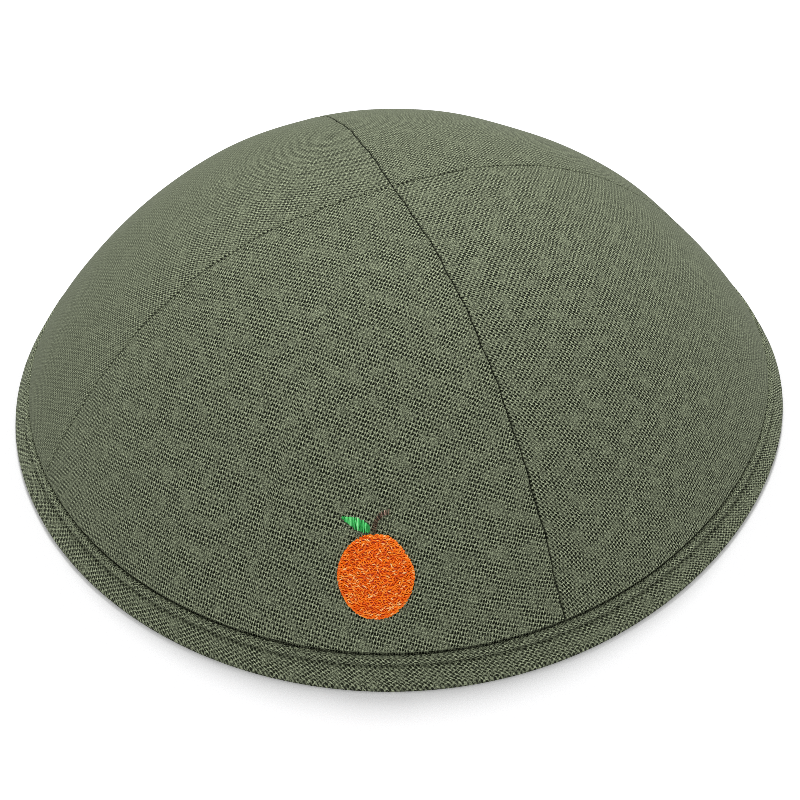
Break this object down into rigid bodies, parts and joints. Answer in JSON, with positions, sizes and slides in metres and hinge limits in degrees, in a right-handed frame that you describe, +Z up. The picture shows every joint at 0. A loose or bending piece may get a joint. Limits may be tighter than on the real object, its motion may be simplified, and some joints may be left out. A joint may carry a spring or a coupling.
{
  "type": "kippah skullcap",
  "caption": "Shallow dome-shaped linen skullcap sewn from gores, with a bound rim and an embroidered orange on the front, worn on the crown of the head.",
  "frame": {"origin": "on the surface that the rim rests on, below the middle of the cap's outline", "axes": "+Z up through the crown, -Y out through the embroidered front, +X to the wearer's left as the front is faced"},
  "size_m": [0.2, 0.1998, 0.0688],
  "materials": {
    "linen": "matt open plain-weave linen, sage green",
    "binding_linen": "matt bias-cut linen, sage green",
    "orange_thread": "satin embroidery thread, orange",
    "green_thread": "satin embroidery thread, green",
    "brown_thread": "satin embroidery thread, brown"
  },
  "bodies": {
    "root": {"panel_front": "linen", "panel_right": "linen", "panel_back": "linen", "panel_left": "linen", "rim_binding": "binding_linen", "embroidered_orange": "orange_thread", "embroidered_leaf": "green_thread", "embroidered_stem": "brown_thread"}
  },
  "joints": []
}
